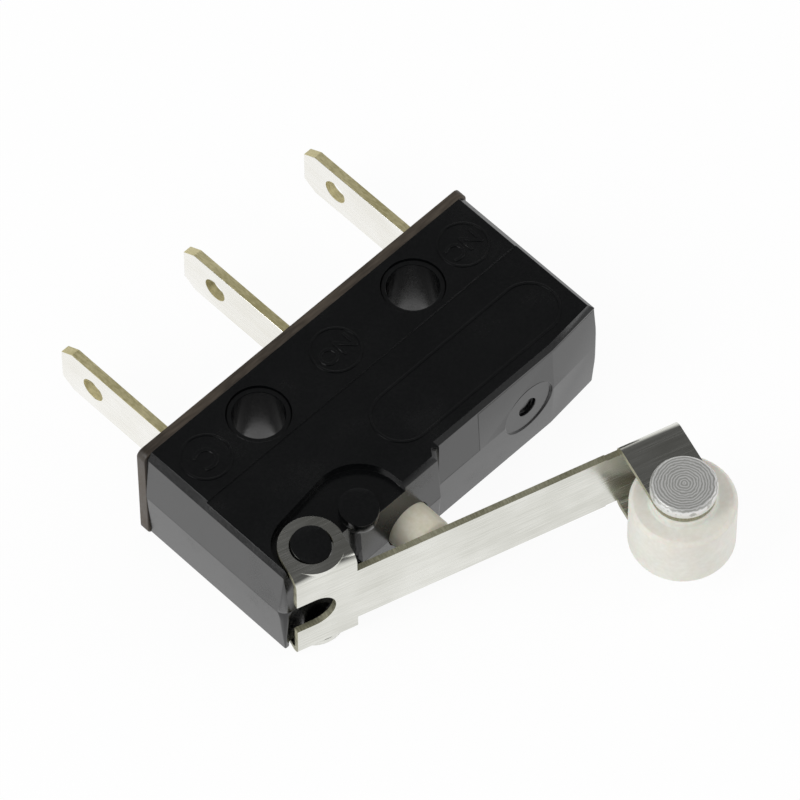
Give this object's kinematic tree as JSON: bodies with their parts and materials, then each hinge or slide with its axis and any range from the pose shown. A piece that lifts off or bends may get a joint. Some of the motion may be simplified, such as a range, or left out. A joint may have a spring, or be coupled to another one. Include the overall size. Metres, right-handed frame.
{
  "type": "lever micro switch",
  "caption": "Subminiature snap-action switch with a roller lever over a round plunger, flat tab terminals and through holes for mounting.",
  "frame": {"origin": "centre of the mounting hole nearest the common terminal, on the back face", "axes": "+X along the row of terminals from common to normally closed, +Y towards the terminals, +Z through the thickness from the back face to the marked front face"},
  "size_m": [0.0199, 0.0275, 0.0064],
  "materials": {
    "housing_black": "glossy black moulded plastic",
    "strip_brown": "dull brown-black moulded plastic with a rough face",
    "terminal_plate": "brass with a bright pale plating, yellowish on its cut edges",
    "bronze_sheet": "plain rolled bronze sheet",
    "contact_silver": "smooth silver",
    "spring_steel": "bright drawn spring steel",
    "plunger_ivory": "smooth ivory moulded plastic",
    "lever_steel": "bright rolled stainless sheet",
    "pin_steel": "turned steel",
    "roller_white": "off-white moulded nylon"
  },
  "bodies": {
    "housing": {"housing_base": "housing_black", "housing_cover": "housing_black", "terminal_strip": "strip_brown", "common_terminal": "terminal_plate", "no_terminal": "terminal_plate", "nc_terminal": "terminal_plate", "pivot_bracket": "bronze_sheet", "no_contact": "contact_silver", "nc_contact": "contact_silver"},
    "lever": {"roller_lever": "lever_steel", "roller_pin": "pin_steel"},
    "roller": {"roller": "roller_white"},
    "plunger": {"plunger": "plunger_ivory"},
    "spring_lever": {"spring_lever": "spring_steel"},
    "contact_arm": {"contact_arm": "bronze_sheet", "moving_contact": "contact_silver", "coil_spring": "spring_steel"}
  },
  "joints": [
    {"name": "lever_pivot", "type": "hinge", "parent": "housing", "child": "lever", "pos_m": [-0.003, -0.00635, 0.0032], "axis": [0, 0, 1], "range_deg": [0, 15], "stiffness_Nm_per_rad": 0.01, "springref_deg": -5.73},
    {"name": "roller_spin", "type": "hinge", "parent": "lever", "child": "roller", "pos_m": [0.01079, -0.01548, 0.0032], "axis": [0, 0, 1], "continuous": true},
    {"name": "plunger_slide", "type": "slide", "parent": "housing", "child": "plunger", "axis": [0, 1, 0], "range_m": [0, 0.0014]},
    {"name": "spring_lever_rock", "type": "hinge", "parent": "housing", "child": "spring_lever", "pos_m": [-0.00317, -0.0052, 0.0032], "axis": [0, 0, 1], "range_deg": [0, 15.2]},
    {"name": "contact_arm_flip", "type": "hinge", "parent": "housing", "child": "contact_arm", "pos_m": [-0.00299, -0.00375, 0.0032], "axis": [0, 0, 1], "range_deg": [0, 2.3], "deforming": ["coil_spring"]}
  ],
  "couplings": [
    {"joint": "plunger_slide", "follows": "lever_pivot", "m_per_rad": 0.005195},
    {"joint": "spring_lever_rock", "follows": "lever_pivot", "ratio": 1},
    {"joint": "contact_arm_flip", "follows": "lever_pivot", "ratio": 0.15}
  ]
}
